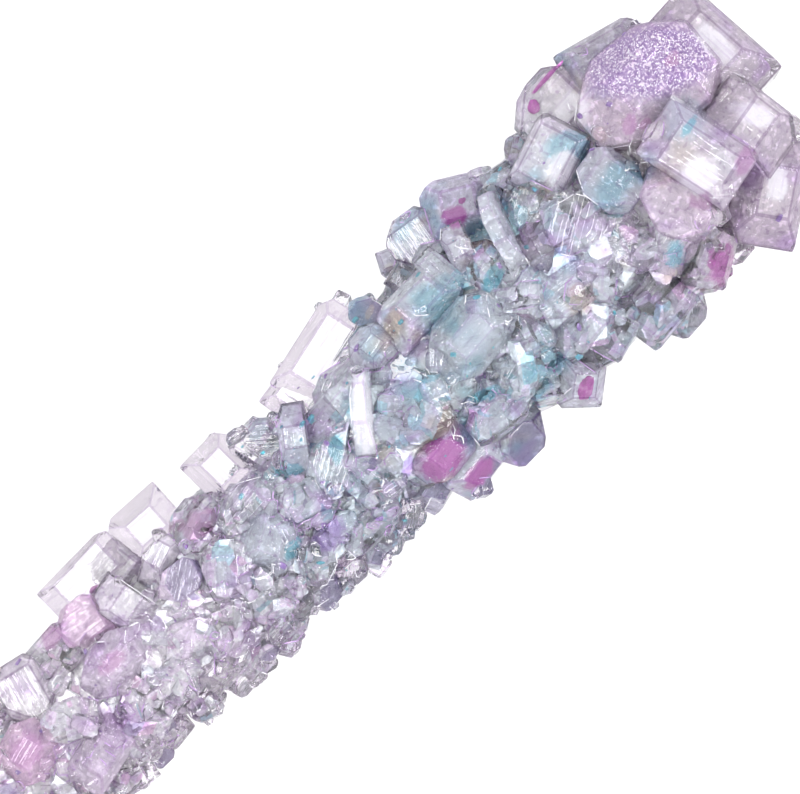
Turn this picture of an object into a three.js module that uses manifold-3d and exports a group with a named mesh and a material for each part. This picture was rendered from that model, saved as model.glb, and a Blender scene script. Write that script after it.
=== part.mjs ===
// Rock candy on a stick: sugar crystals grown together round a wooden stick, lying on its side.
//
// Millimetres, +Z up. +X runs along the stick, towards the heavy end of the candy. The candy rests on the
// flats that its lowest crystals have at z = 0, and the origin is the middle of the footprint.
//
// The crystals are placed in the stick's own frame: along the stick, across it, and height above its axis.
// That frame is then set down at the slope at which the candy lies.

import * as THREE from "three";
import { ConvexGeometry } from "three/addons/geometries/ConvexGeometry.js";
import { mergeVertices } from "three/addons/utils/BufferGeometryUtils.js";
import Module from "manifold-3d";

const wasm = await Module();
wasm.setup();

// ---- Driving dimensions, in millimetres and degrees ----

const STICK = { diameter: 4.5, chamfer: 0.5, handleEnd: -66, buriedEnd: 84, sides: 20 };
const BORE_GAP = 0.3; // between the stick and the candy, which only touch in the real thing

// How the candy lies: its axis climbs towards the heavy end.
const REST = { slope: 3.0, axisHeight: 7.9, along: -15.2, across: 0.2 };
const FLOOR_CUT = 60; // size of the block that trims what would sink into the surface
const FUSE_TOLERANCE = 0.12; // facets and slivers smaller than this are cleaned off the fused candy

// Half the thickness of the candy without the crystals that stand out of it, along the stick.
const CORE = [
  [-15, 3.1],
  [-11, 5.8],
  [-2, 6.7],
  [40, 6.8],
  [50, 8.2],
  [74, 8.9],
  [85, 9.9],
  [92, 5.8],
];
const CORE_SIDES = 12;
// Half the thickness out to the crystals' faces, along the stick.
const REACH = [
  [-16, 4.5],
  [-10, 7.6],
  [0, 8.0],
  [42, 8.2],
  [50, 10.4],
  [75, 11.4],
  [84, 13.0],
  [91, 10.5],
  [97, 5.0],
];

// How much wider the named crystals are than the part of them that shows.
const OVERLAP = 1.07;

// ---- Crystal habits ----
// Each habit is a block whose edges and corners are sliced off. A slice is a direction in the block,
// length, width and depth, and the share of the way to the middle that it takes.

const HABITS = {
  block: [
    [1, 0, 1, 0.14],
    [-1, 0, 1, 0.2],
    [0, 1, 1, 0.16],
    [0, -1, 1, 0.12],
    [1, 1, 0, 0.12],
  ],
  tablet: [
    [1, 0, 1, 0.24],
    [-1, 0, 1, 0.3],
    [0, 1, 1, 0.3],
    [0, -1, 1, 0.24],
    [1, -1, 0, 0.16],
    [-1, 1, 0, 0.22],
  ],
  hexagon: [
    [1, 1, 0, 0.3],
    [-1, -1, 0, 0.28],
    [1, -1, 0, 0.2],
    [-1, 1, 0, 0.24],
    [1, 0, 1, 0.2],
    [0, -1, 1, 0.18],
    [-1, 1, 1, 0.3],
  ],
  chisel: [
    [1, 0, 1, 0.34],
    [1, 0, -1, 0.3],
    [-1, 0, 1, 0.36],
    [0, 1, 1, 0.2],
    [1, 1, 0, 0.24],
  ],
  rhomb: [
    [1, 1, 0, 0.42],
    [-1, -1, 0, 0.4],
    [1, -1, 1, 0.26],
    [-1, 1, 1, 0.3],
    [0, 1, 1, 0.16],
  ],
  spear: [
    [2, 1, 0, 0.3],
    [2, -1, 0, 0.26],
    [2, 0, 1, 0.3],
    [0, 1, 1, 0.26],
    [0, -1, 1, 0.22],
    [-1, 0, 1, 0.2],
  ],
  boulder: [
    [1, 0, 1, 0.28],
    [-1, 0, 1, 0.34],
    [0, 1, 1, 0.34],
    [0, -1, 1, 0.3],
    [1, 1, 0, 0.3],
    [-1, -1, 0, 0.3],
    [1, -1, 0, 0.22],
    [-1, 1, 0, 0.34],
    [1, 1, 1, 0.36],
    [-1, 1, 1, 0.4],
    [1, -1, 1, 0.34],
  ],
  splinter: [
    [1, 1, 0, 0.3],
    [-1, 0, 1, 0.4],
    [1, 0, 1, 0.16],
    [0, -1, 1, 0.3],
  ],
};

// ---- The crystals of the upper side ----
// Along, across; length, width, depth; turn of the length seen from above; lean of the front face across
// and its nod along the stick, all in degrees; rise out of the candy; habit.

const UPPER = [
  // the head
  [85.6, 6.3, 14, 10.4, 9, -4, 14, 2, 1.2, "boulder"],
  [92.3, 4.5, 12, 7.4, 8.4, 94, 4, 12, 0, "tablet"],
  [78.2, 10.4, 8.6, 7, 7, 4, 16, -6, 0.5, "hexagon"],
  [84.6, 10.4, 8.4, 6, 6, -15, 20, 0, -0.5, "block"],
  [90.4, 8.6, 4.4, 3.6, 4, -6, 20, 10, 0, "block"],
  [85.1, -1.8, 9.8, 6.2, 7, -77, -4, -8, 1.6, "block"],
  [80.4, -3.6, 7.6, 6.2, 7, -68, -14, -8, 0, "rhomb"],
  [87.2, -9.2, 10.4, 7, 7, 37, -16, 6, 0.8, "tablet"],
  [90.2, -3.4, 9, 6.2, 7, -80, -2, 20, 0.6, "chisel"],
  // behind the head
  [74, 7.4, 7.6, 5.6, 6, 20, 16, -6, 0.6, "block"],
  [72.4, 10.2, 3.4, 2.8, 3, 42, 30, 0, 0, "hexagon"],
  [68.9, 9.6, 3.2, 2.4, 3, -12, 30, 0, 0, "block"],
  [66.9, 8.9, 2.4, 2.4, 3, 30, 20, 0, 0, "rhomb"],
  [69.6, 5.4, 4.6, 4.2, 4, 24, 14, -8, 0, "hexagon"],
  [76.6, 2, 6.4, 5.2, 5, 100, 2, 6, 0, "hexagon"],
  [71.3, 1.4, 5.8, 5.8, 5, 32, 4, -6, 0.2, "rhomb"],
  [74.4, -4.8, 8.4, 3.6, 5, -58, -12, 4, 0.4, "chisel"],
  [69, -3.4, 5.4, 4.6, 5, 42, -4, -10, 0, "tablet"],
  [71.3, -9.4, 6.6, 5.8, 6, 8, -26, 0, 0.2, "block"],
  [73, -11.6, 4.8, 4, 5, 46, -40, 0, 0.2, "rhomb"],
  [78.4, -9.4, 6.2, 5.4, 6, 36, -30, 4, 0.4, "tablet"],
  [77.4, -5.6, 4, 3.6, 4, 10, -10, 12, 0, "hexagon"],
  // the blue middle
  [58.8, 10.6, 6.2, 5.2, 6, 82, 14, -8, 0.4, "hexagon"],
  [63.9, 10.4, 7.2, 6.2, 6, -32, 18, 6, 0.6, "tablet"],
  [55.4, 11.4, 2.8, 2.2, 2.4, -24, 20, 0, 0, "block"],
  [54.9, 9.4, 2.6, 2.4, 2.4, 16, 10, 0, 0, "block"],
  [58.3, 7.2, 4.8, 2.4, 3.4, 96, 8, 0, 0.8, "block"],
  [61.2, 7.4, 5.2, 2.6, 3.4, 74, 8, 0, 0.8, "chisel"],
  [65.5, 5.8, 7.8, 1.9, 3.4, 75, 6, -8, 1.6, "splinter"],
  [62, 4, 4.2, 3.8, 4, 12, 4, 8, 0.2, "tablet"],
  [67.2, 2, 5.4, 3.8, 4, 76, 2, 8, 0.2, "boulder"],
  [56, 0.6, 10.2, 6.4, 6, 6, 2, -2, 0.2, "boulder"],
  [54.6, 6, 9.2, 5.2, 6, 2, 18, 0, 0, "tablet"],
  [63.2, 0, 6.2, 5.8, 5, 22, -2, 4, 0, "boulder"],
  [66.6, -2.8, 7.2, 4.4, 5, -8, -6, 2, 0, "hexagon"],
  [60.4, -3.6, 4.4, 3.6, 4, -16, -8, -6, 0, "tablet"],
  [57, -5.4, 5.4, 4.4, 5, 16, -14, -4, 0.4, "boulder"],
  [64.4, -6.3, 5.8, 3.6, 4.4, 6, -20, 6, 0.2, "tablet"],
  [66.4, -8.3, 4.8, 4.2, 5, 20, -26, 4, 0, "block"],
  [60.6, -9.8, 5.4, 5, 5, 43, -30, 0, 0.4, "tablet"],
  [63.7, -9.2, 3.8, 3.2, 4, -20, -34, 0, 0, "splinter"],
  [52.4, -6.6, 6, 3.8, 5, -6, -24, 0, 0.2, "hexagon"],
  [52.3, -9.6, 4.8, 4.4, 5, 45, -36, 0, 0.2, "rhomb"],
  // the neck
  [43.9, 8.6, 10, 7.2, 6, 14, 2, 2, 0.4, "block"],
  [40.3, 7.8, 7.4, 6.2, 5, 10, 6, -4, -0.2, "block"],
  [50, 9, 3.4, 3.4, 4, -30, 16, 0, 0.2, "rhomb"],
  [48, 6.4, 4.8, 4.4, 4.4, 10, 8, 4, 0.8, "boulder"],
  [43, 2.4, 8.2, 2, 3.4, 51, 2, -2, 1.8, "splinter"],
  [41, 4.4, 8, 3.8, 4, 5, 6, 0, 0, "tablet"],
  [36, 5.2, 7, 2.8, 4, 55, 8, 4, 0.8, "chisel"],
  [34.2, 6.8, 4.4, 4, 4, -40, 16, -4, 0.2, "rhomb"],
  [46.6, -1, 7.4, 6.2, 5.4, -20, -2, -4, 0, "hexagon"],
  [46, -5.4, 6.8, 5.2, 6, 8, -16, 0, 0.6, "boulder"],
  [47.3, -8.6, 6.6, 4.4, 5, 12, -40, 0, 0.8, "tablet"],
  [42.4, -7.9, 3.6, 3.6, 3.6, 20, -40, 0, 0.4, "splinter"],
  // the slender part
  [28.3, 7.8, 6.4, 5.4, 6, 92, 8, 2, 0.4, "tablet"],
  [32.2, 7, 4.8, 2.8, 4, 104, 8, 4, 0.2, "block"],
  [23, 5.8, 5.6, 4.2, 4.4, 8, 14, 2, 0.2, "hexagon"],
  [18.6, 9.2, 6.8, 5.6, 5, -2, 6, 4, 0, "tablet"],
  [10.9, 9.6, 9, 4.4, 5, 2, 8, -2, -0.2, "block"],
  [14, 8, 5.2, 5.2, 5, 10, 8, 2, 0.8, "tablet"],
  [12.1, 4.6, 6.8, 3.8, 4.4, 102, 6, 4, 0.4, "chisel"],
  [8.2, 6, 5.8, 5, 5, -8, 12, -4, 0.2, "hexagon"],
  [3.5, 5.8, 5.2, 4.6, 5, 5, 14, 2, 0.2, "block"],
  [-1, 5.4, 6.4, 5.2, 5, 78, 10, 0, 0.4, "hexagon"],
  [17.8, 5.6, 5.4, 2.6, 3.6, 20, 10, -4, 0.4, "splinter"],
  [18.1, 2.8, 4.2, 3.8, 4, 35, 4, 6, 0.2, "rhomb"],
  [-5, 1, 6.8, 5.4, 5.4, 16, 2, -4, 0.2, "boulder"],
  [0.5, 0.3, 5.8, 4, 4.4, -22, 2, 4, 0.2, "hexagon"],
  [7.7, 1.4, 8, 5.2, 5.4, 2, 4, 0, 0.4, "boulder"],
  [14, -1.2, 6.6, 5.4, 5.2, -10, -4, 4, 0.2, "boulder"],
  [0, -3.8, 7.2, 5, 5.2, 12, -12, -4, 0, "tablet"],
  [7, -2.8, 4.6, 4, 4.2, 30, -8, 6, 0, "rhomb"],
  [11, -3.6, 4.6, 4.2, 4.4, 70, -10, -4, 0, "hexagon"],
  [5, -5.6, 5.2, 3.8, 4.2, -14, -26, 0, 0, "hexagon"],
  [22, 0.6, 5.8, 5.2, 5, 50, 2, -6, 0, "tablet"],
  [17.6, -3.4, 5.2, 4.4, 4.4, 22, -10, 4, 0, "rhomb"],
  [23.2, -4.2, 5.4, 4.8, 4.6, -34, -14, 0, 0, "hexagon"],
  [14.6, -5.8, 4.6, 3.6, 4, 8, -30, 0, 0, "tablet"],
  [27.2, -0.4, 6.6, 5.6, 5.2, 26, -2, 4, 0, "boulder"],
  [28, 3.6, 6.2, 3.8, 4.2, 5, 8, -4, 0, "hexagon"],
  [32.6, 0.2, 6.2, 4.8, 5, -16, 0, -4, 0, "tablet"],
  [32.3, -3.9, 4.6, 3.2, 4, 12, -12, 2, 0.4, "boulder"],
  [29.2, -4.8, 4.4, 3.6, 4, 60, -20, 0, 0, "rhomb"],
  [37.2, 0.6, 5.4, 4.8, 5, 32, 2, 6, 0, "hexagon"],
  [38.8, -4.2, 5.4, 3.6, 4.2, 10, -14, -4, 0.2, "tablet"],
  [41, -1.2, 5.6, 4.4, 4.6, -12, -2, 4, 0, "hexagon"],
  [35.4, -5.8, 6, 3.6, 4, 2, -26, 0, 0, "hexagon"],
  // the small ones along the lower edge
  [0, -7.4, 3.4, 3.2, 3.4, 30, -40, 0, 0, "rhomb"],
  [1.6, -8.6, 2.8, 1.8, 2.2, 80, -40, 0, 0, "splinter"],
  [3.9, -7.9, 2.8, 2.4, 2.6, 42, -40, 0, 0, "rhomb"],
  [6.6, -7.4, 3.2, 2.4, 2.6, 12, -50, 0, 0, "block"],
  [10.6, -7.7, 3.6, 3.4, 3.6, 64, -40, 0, 0.2, "boulder"],
  [15.8, -7.9, 4.2, 3.4, 3.6, 10, -44, 0, 0.2, "hexagon"],
  [19.1, -7.8, 2.4, 1.8, 2.4, -20, -50, 0, 0, "rhomb"],
  [21.7, -7.7, 4.8, 3.6, 4, 6, -40, 0, 0.2, "boulder"],
  [25, -7.2, 2.8, 2, 2.4, 4, -50, 0, 0, "block"],
  [27.5, -7.5, 3.6, 3, 3.2, 48, -40, 0, 0, "rhomb"],
  [30.7, -7.6, 3.4, 3.2, 3.2, 42, -44, 0, 0, "rhomb"],
  [33.5, -8.2, 3.2, 2.8, 3, 28, -40, 0, 0, "tablet"],
  [35.9, -7.9, 3.6, 3.2, 3.4, 50, -40, 0, 0, "hexagon"],
  [38.8, -7.7, 3.8, 3, 3.4, 38, -44, 0, 0, "rhomb"],
];

// ---- The crystals all round ----
// They wind round the stick at the golden angle, which spreads them evenly. Those on the upper side are
// small and fill the gaps between the named ones.

const ROUND = {
  count: 148,
  from: -14.5,
  to: 93,
  goldenAngle: 137.508,
  upperHalfAngle: 62, // either side of straight up, where the named crystals are
  upperFrom: -8,
  size: [0.5, 0.86], // crystal length as a share of the reach there
  fillerSize: [0.22, 0.36],
  width: [0.6, 0.95], // as a share of the length
  depth: [0.65, 0.95],
  tip: 30, // most that a crystal tips off the radial direction, in degrees
  seed: 20417,
};

const COLOURS = {
  sugar: { color: 0xc9c0d8, roughness: 0.18, metalness: 0 },
  birch: { color: 0xdcc39a, roughness: 0.7, metalness: 0 },
};

// ---- Helpers ----

const radians = THREE.MathUtils.degToRad;
const mix = (pair, share) => pair[0] + (pair[1] - pair[0]) * share;

// A seeded row of numbers from 0 to 1.
function draws(seed) {
  let state = seed;
  return () => {
    state = (state * 1664525 + 1013904223) % 4294967296;
    return state / 4294967296;
  };
}

// The value at a place along the stick, straight between the stations of a profile.
function valueAt(profile, along) {
  const next = profile.findIndex(([station]) => station > along);
  if (next === 0) return profile[0][1];
  if (next < 0) return profile.at(-1)[1];
  const [a, b] = [profile[next - 1], profile[next]];
  return mix([a[1], b[1]], (along - a[0]) / (b[0] - a[0]));
}

// A closed geometry as a solid that can be joined and cut.
function solidOf(geometry) {
  const bare = geometry.clone();
  for (const name of Object.keys(bare.attributes)) {
    if (name !== "position") bare.deleteAttribute(name);
  }
  const merged = mergeVertices(bare, 1e-4);
  return new wasm.Manifold(
    new wasm.Mesh({
      numProp: 3,
      vertProperties: merged.attributes.position.array,
      triVerts: new Uint32Array(merged.index.array),
    }),
  );
}

function geometryOf(solid) {
  const mesh = solid.getMesh();
  const geometry = new THREE.BufferGeometry();
  geometry.setAttribute("position", new THREE.BufferAttribute(mesh.vertProperties, 3));
  geometry.setIndex(new THREE.BufferAttribute(mesh.triVerts, 1));
  return geometry;
}

// The largest body, without loose scraps and without hollows that the fusing has sealed.
function largestBody(solid) {
  return solid.decompose().reduce((best, body) => (body.volume() > best.volume() ? body : best));
}

// ---- Crystals ----

// A habit as a unit block with its slices off.
function habitGeometry(slices) {
  let solid = solidOf(new THREE.BoxGeometry(1, 1, 1));
  for (const [x, y, z, bite] of slices) {
    const length = Math.hypot(x, y, z);
    const corner = (Math.abs(x) + Math.abs(y) + Math.abs(z)) / 2;
    const inwards = [-x / length, -y / length, -z / length];
    solid = solid.trimByPlane(inwards, (-corner * (1 - bite)) / length);
  }
  return geometryOf(solid);
}

const habits = Object.fromEntries(
  Object.entries(HABITS).map(([name, slices]) => [name, habitGeometry(slices)]),
);

// One crystal: a habit at its size, with its front face turned, leant and nodded, rolled round the stick.
function crystal({ habit, size, centre, turn, lean, nod, roll = 0 }) {
  const attitude = new THREE.Quaternion()
    .setFromEuler(new THREE.Euler(-radians(lean), radians(nod), radians(turn), "YXZ"))
    .premultiply(new THREE.Quaternion().setFromAxisAngle(new THREE.Vector3(1, 0, 0), -radians(roll)));
  const place = new THREE.Matrix4().compose(centre, attitude, size);
  return solidOf(habits[habit].clone().applyMatrix4(place));
}

function upperCrystals() {
  return UPPER.map(([along, across, length, width, depth, turn, lean, nod, rise, habit]) => {
    const reach = valueAt(REACH, along);
    const offCentre = Math.min(Math.abs(across) / reach, 1);
    const height = reach * Math.sqrt(1 - offCentre ** 2) - depth / 2 + rise;
    const centre = new THREE.Vector3(along, across, Math.max(height, 0));
    const size = new THREE.Vector3(length * OVERLAP, width * OVERLAP, depth);
    return crystal({ habit, size, centre, turn, lean, nod });
  });
}

function crystalsAllRound() {
  const draw = draws(ROUND.seed);
  const names = Object.keys(HABITS);
  const made = [];
  for (let i = 0; i < ROUND.count; i += 1) {
    const along = mix([ROUND.from, ROUND.to], (i + 0.5) / ROUND.count);
    const roll = ((i * ROUND.goldenAngle + 180) % 360) - 180;
    const filler = Math.abs(roll) < ROUND.upperHalfAngle && along > ROUND.upperFrom;
    const reach = valueAt(REACH, along);
    const length = reach * mix(filler ? ROUND.fillerSize : ROUND.size, draw());
    const width = length * mix(ROUND.width, draw());
    const depth = length * mix(ROUND.depth, draw());
    const radius = reach - depth * (filler ? 0.9 : 0.5);
    made.push(
      crystal({
        habit: names[Math.floor(draw() * names.length)],
        size: new THREE.Vector3(length, width, depth),
        centre: new THREE.Vector3(
          along,
          radius * Math.sin(radians(roll)),
          radius * Math.cos(radians(roll)),
        ),
        turn: 360 * draw(),
        lean: ROUND.tip * (2 * draw() - 1),
        nod: ROUND.tip * (2 * draw() - 1),
        roll,
      }),
    );
  }
  return made;
}

// ---- Turned shapes along the stick ----

// A lathed solid whose axis is the stick's. The profile is radius against place along the stick.
function turned(profile, sides) {
  const points = [
    new THREE.Vector2(0, profile[0][0]),
    ...profile.map(([along, radius]) => new THREE.Vector2(radius, along)),
    new THREE.Vector2(0, profile.at(-1)[0]),
  ];
  return new THREE.LatheGeometry(points, sides).rotateZ(-Math.PI / 2);
}

function stickGeometry() {
  const { diameter, chamfer, handleEnd, buriedEnd, sides } = STICK;
  const radius = diameter / 2;
  return turned(
    [
      [handleEnd, radius - chamfer],
      [handleEnd + chamfer, radius],
      [buriedEnd - chamfer, radius],
      [buriedEnd, radius - chamfer],
    ],
    sides,
  );
}

// What the stick fills, and the gap round it, open at the handle's side.
function boreGeometry() {
  const radius = STICK.diameter / 2 + BORE_GAP;
  return turned(
    [
      [STICK.handleEnd, radius],
      [STICK.buriedEnd + BORE_GAP, radius],
    ],
    STICK.sides,
  );
}

// ---- The candy, set down on the surface ----

function restMatrix() {
  const tilt = new THREE.Matrix4().makeRotationY(-radians(REST.slope));
  const move = new THREE.Matrix4().makeTranslation(REST.along, REST.across, REST.axisHeight);
  return move.multiply(tilt);
}

function candyGeometry() {
  const grown = wasm.Manifold.union([
    solidOf(turned(CORE, CORE_SIDES)),
    ...upperCrystals(),
    ...crystalsAllRound(),
  ]);
  const bored = largestBody(grown).subtract(solidOf(boreGeometry()));
  const laid = solidOf(geometryOf(bored).applyMatrix4(restMatrix()));
  const below = new THREE.BoxGeometry(4 * FLOOR_CUT, FLOOR_CUT, FLOOR_CUT).translate(0, 0, -FLOOR_CUT / 2);
  const trimmed = laid.subtract(solidOf(below));
  return geometryOf(largestBody(trimmed.simplify(FUSE_TOLERANCE)));
}

function named(name, geometry, finish) {
  const mesh = new THREE.Mesh(geometry, new THREE.MeshStandardMaterial(finish));
  mesh.name = name;
  return mesh;
}

const rockCandy = new THREE.Group();
rockCandy.add(named("crystals", candyGeometry(), COLOURS.sugar));

const stick = named("stick", stickGeometry(), COLOURS.birch);
stick.applyMatrix4(restMatrix());
rockCandy.add(stick);

export default rockCandy;
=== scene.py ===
"""Rock candy on a stick: clear and milky sugar crystals, colouring and wood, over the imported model."""

import math
from collections import namedtuple

import bpy
from bpy.props import FloatProperty, FloatVectorProperty, IntProperty, PointerProperty
from mathutils import Matrix, Vector, noise


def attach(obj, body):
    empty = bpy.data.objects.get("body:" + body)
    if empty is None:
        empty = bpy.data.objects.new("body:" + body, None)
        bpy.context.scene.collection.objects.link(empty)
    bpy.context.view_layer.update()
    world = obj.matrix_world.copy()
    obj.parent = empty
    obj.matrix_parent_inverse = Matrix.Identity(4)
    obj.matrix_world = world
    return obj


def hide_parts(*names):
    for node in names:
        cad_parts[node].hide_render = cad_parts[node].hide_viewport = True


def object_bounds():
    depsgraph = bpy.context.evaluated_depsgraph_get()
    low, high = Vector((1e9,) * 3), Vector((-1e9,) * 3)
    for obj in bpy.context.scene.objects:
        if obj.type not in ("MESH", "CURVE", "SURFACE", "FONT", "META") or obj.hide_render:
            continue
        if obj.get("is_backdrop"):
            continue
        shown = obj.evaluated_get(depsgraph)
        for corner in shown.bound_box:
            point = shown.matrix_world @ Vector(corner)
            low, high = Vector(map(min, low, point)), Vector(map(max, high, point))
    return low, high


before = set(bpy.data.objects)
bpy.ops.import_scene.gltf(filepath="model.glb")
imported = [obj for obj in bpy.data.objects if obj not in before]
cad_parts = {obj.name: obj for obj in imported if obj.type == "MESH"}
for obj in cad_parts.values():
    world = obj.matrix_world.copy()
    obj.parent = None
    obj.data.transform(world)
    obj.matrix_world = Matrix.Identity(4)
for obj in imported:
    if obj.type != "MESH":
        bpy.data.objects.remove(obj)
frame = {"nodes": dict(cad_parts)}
CAD_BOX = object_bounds()

bl_info = {
    "name": "Rock Candy Stick",
    "version": (1, 0, 0),
    "blender": (4, 5, 0),
    "location": "View3D > Sidebar > Candy",
    "description": "Models sugar crystals on a wooden stick and sets them on a pale studio floor",
    "category": "Add Mesh",
}

MM = 0.001
OUTSIDE = 30  # millimetres from the stick's axis, well clear of the candy

# Half the thickness along the stick, in millimetres: of the milky candy under the crystals, of the clear
# candy without the crystals that stand out of it, and out to the crystals' faces.
MILK = [
    (-15, 2.7), (-11, 5.2), (-2, 6.3), (10, 6.3), (24, 6.3), (40, 6.4),
    (50, 7.7), (62, 8.3), (74, 8.8), (84, 9.3), (91, 4.8),
]
CORE = [(-15, 3.1), (-11, 5.8), (-2, 6.7), (40, 6.8), (50, 8.2), (74, 8.9), (85, 9.9), (92, 5.8)]
REACH = [(-16, 4.5), (-10, 7.6), (0, 8), (42, 8.2), (50, 10.4), (75, 11.4), (84, 13), (91, 10.5), (97, 5)]
CORE_SIDES = 12
MILK_SIDES = 36
STICK_LENGTH = 150
STICK_MIDDLE = 9  # along the stick's frame

# A habit is a block whose edges and corners are sliced off. A slice is a direction in the block, length,
# width and depth, and the share of the way to the middle that it takes.
HABITS = {
    "block": [(1, 0, 1, 0.14), (-1, 0, 1, 0.2), (0, 1, 1, 0.16), (0, -1, 1, 0.12), (1, 1, 0, 0.12)],
    "tablet": [
        (1, 0, 1, 0.24), (-1, 0, 1, 0.3), (0, 1, 1, 0.3), (0, -1, 1, 0.24), (1, -1, 0, 0.16),
        (-1, 1, 0, 0.22),
    ],
    "hexagon": [
        (1, 1, 0, 0.3), (-1, -1, 0, 0.28), (1, -1, 0, 0.2), (-1, 1, 0, 0.24), (1, 0, 1, 0.2),
        (0, -1, 1, 0.18), (-1, 1, 1, 0.3),
    ],
    "chisel": [(1, 0, 1, 0.34), (1, 0, -1, 0.3), (-1, 0, 1, 0.36), (0, 1, 1, 0.2), (1, 1, 0, 0.24)],
    "rhomb": [(1, 1, 0, 0.42), (-1, -1, 0, 0.4), (1, -1, 1, 0.26), (-1, 1, 1, 0.3), (0, 1, 1, 0.16)],
    "spear": [
        (2, 1, 0, 0.3), (2, -1, 0, 0.26), (2, 0, 1, 0.3), (0, 1, 1, 0.26), (0, -1, 1, 0.22),
        (-1, 0, 1, 0.2),
    ],
    "boulder": [
        (1, 0, 1, 0.28), (-1, 0, 1, 0.34), (0, 1, 1, 0.34), (0, -1, 1, 0.3), (1, 1, 0, 0.3),
        (-1, -1, 0, 0.3), (1, -1, 0, 0.22), (-1, 1, 0, 0.34), (1, 1, 1, 0.36), (-1, 1, 1, 0.4),
        (1, -1, 1, 0.34),
    ],
    "splinter": [(1, 1, 0, 0.3), (-1, 0, 1, 0.4), (1, 0, 1, 0.16), (0, -1, 1, 0.3)],
}

# How strongly each look tints the milky heart of a crystal or a facet of a shard.
LOOKS = {
    "frost": (0.90, 0.91, 0.93),
    "mauve": (0.88, 0.80, 0.90),
    "blush": (0.94, 0.90, 0.94),
    "bright": (1.0, 1.0, 1.0),
    "smooth": (0.70, 0.73, 0.77),
    "white": (0.95, 0.95, 0.97),
    "pale": (0.86, 0.86, 0.88),
    "milky": (0.76, 0.78, 0.81),
    "lilac": (0.79, 0.71, 0.83),
    "pink": (0.82, 0.62, 0.79),
    "grey": (0.67, 0.71, 0.76),
    "teal": (0.52, 0.74, 0.79),
    "dark": (0.40, 0.36, 0.50),
    "dusk": (0.26, 0.22, 0.36),
}
# Clear crystals and those with shards under their faces have no milky heart, a cut heart has facets painted
# dark or white by the way they face, as painted shade and painted highlights, and the clearest crystals
# have thin edges painted dark as shade.
HEARTLESS = ("clear", "shards")
THIN_EDGED = ("clear", "bright", "blush", "frost")

# How much of the shards' facets has each look, at the ends and in the middle.
SHARD_TONES = [
    ("white", 0.06, 0.05),
    ("pale", 0.20, 0.11),
    ("milky", 0.34, 0.34),
    ("lilac", 0.26, 0.07),
    ("teal", 0.02, 0.21),
    ("pink", 0.05, 0.02),
    ("grey", 0.06, 0.18),
    ("dark", 0.01, 0.02),
]

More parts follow.
